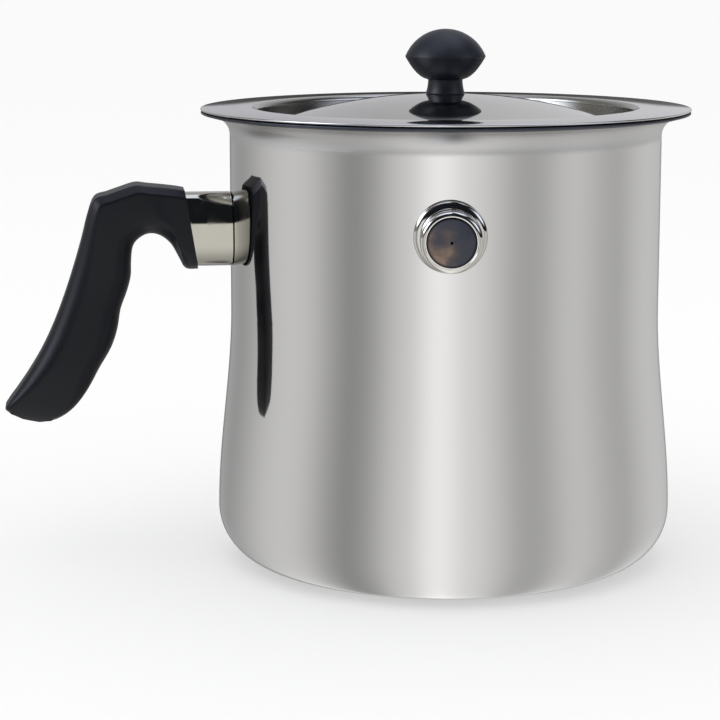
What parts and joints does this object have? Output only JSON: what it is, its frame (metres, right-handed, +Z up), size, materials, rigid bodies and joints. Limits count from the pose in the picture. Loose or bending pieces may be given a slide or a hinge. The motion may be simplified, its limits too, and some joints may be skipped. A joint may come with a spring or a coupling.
{
  "type": "milk boiler",
  "caption": "Double-walled milk boiler with a water jacket, inset domed lid, hooked side handle and a screw-in filler cap with a whistle.",
  "frame": {"origin": "middle of the base, on the pot's axis, at the height of the face it stands on", "axes": "+Z up along the pot's axis; the handle points along -X, and the filler is on the -Y side"},
  "size_m": [0.248, 0.183, 0.1934],
  "materials": {
    "polished_steel": "mirror polished stainless steel",
    "chrome": "chrome plated, polished",
    "plain_steel": "plain rolled or turned steel",
    "black_phenolic": "moulded, soft sheen",
    "brass": "turned",
    "silicone_rubber": "moulded, matt"
  },
  "bodies": {
    "pot": {"outer_shell": "polished_steel", "inner_vessel": "polished_steel", "filler_socket": "chrome", "ferrule": "polished_steel", "handle_grip": "black_phenolic", "handle_bracket": "plain_steel", "handle_washer": "plain_steel", "handle_screw": "plain_steel"},
    "lid": {"lid": "polished_steel", "knob": "black_phenolic", "knob_insert": "brass", "knob_washer": "plain_steel", "knob_screw": "plain_steel"},
    "seal": {"filler_seal": "silicone_rubber"},
    "cap": {"filler_cap": "chrome", "whistle_disc": "brass"}
  },
  "joints": [
    {"name": "lid_lift", "type": "slide", "parent": "pot", "child": "lid", "axis": [0, 0, 1], "range_m": [0, 0.1]},
    {"name": "cap_travel", "type": "slide", "parent": "pot", "child": "seal", "axis": [-0.1305, -0.9914, 0], "range_m": [0, 0.0075]},
    {"name": "cap_turn", "type": "hinge", "parent": "seal", "child": "cap", "pos_m": [-0.01016, -0.07713, 0.1275], "axis": [-0.1305, -0.9914, 0], "range_deg": [0, 1800]}
  ],
  "couplings": [
    {"joint": "cap_travel", "follows": "cap_turn", "m_per_rad": 0.00023873}
  ]
}
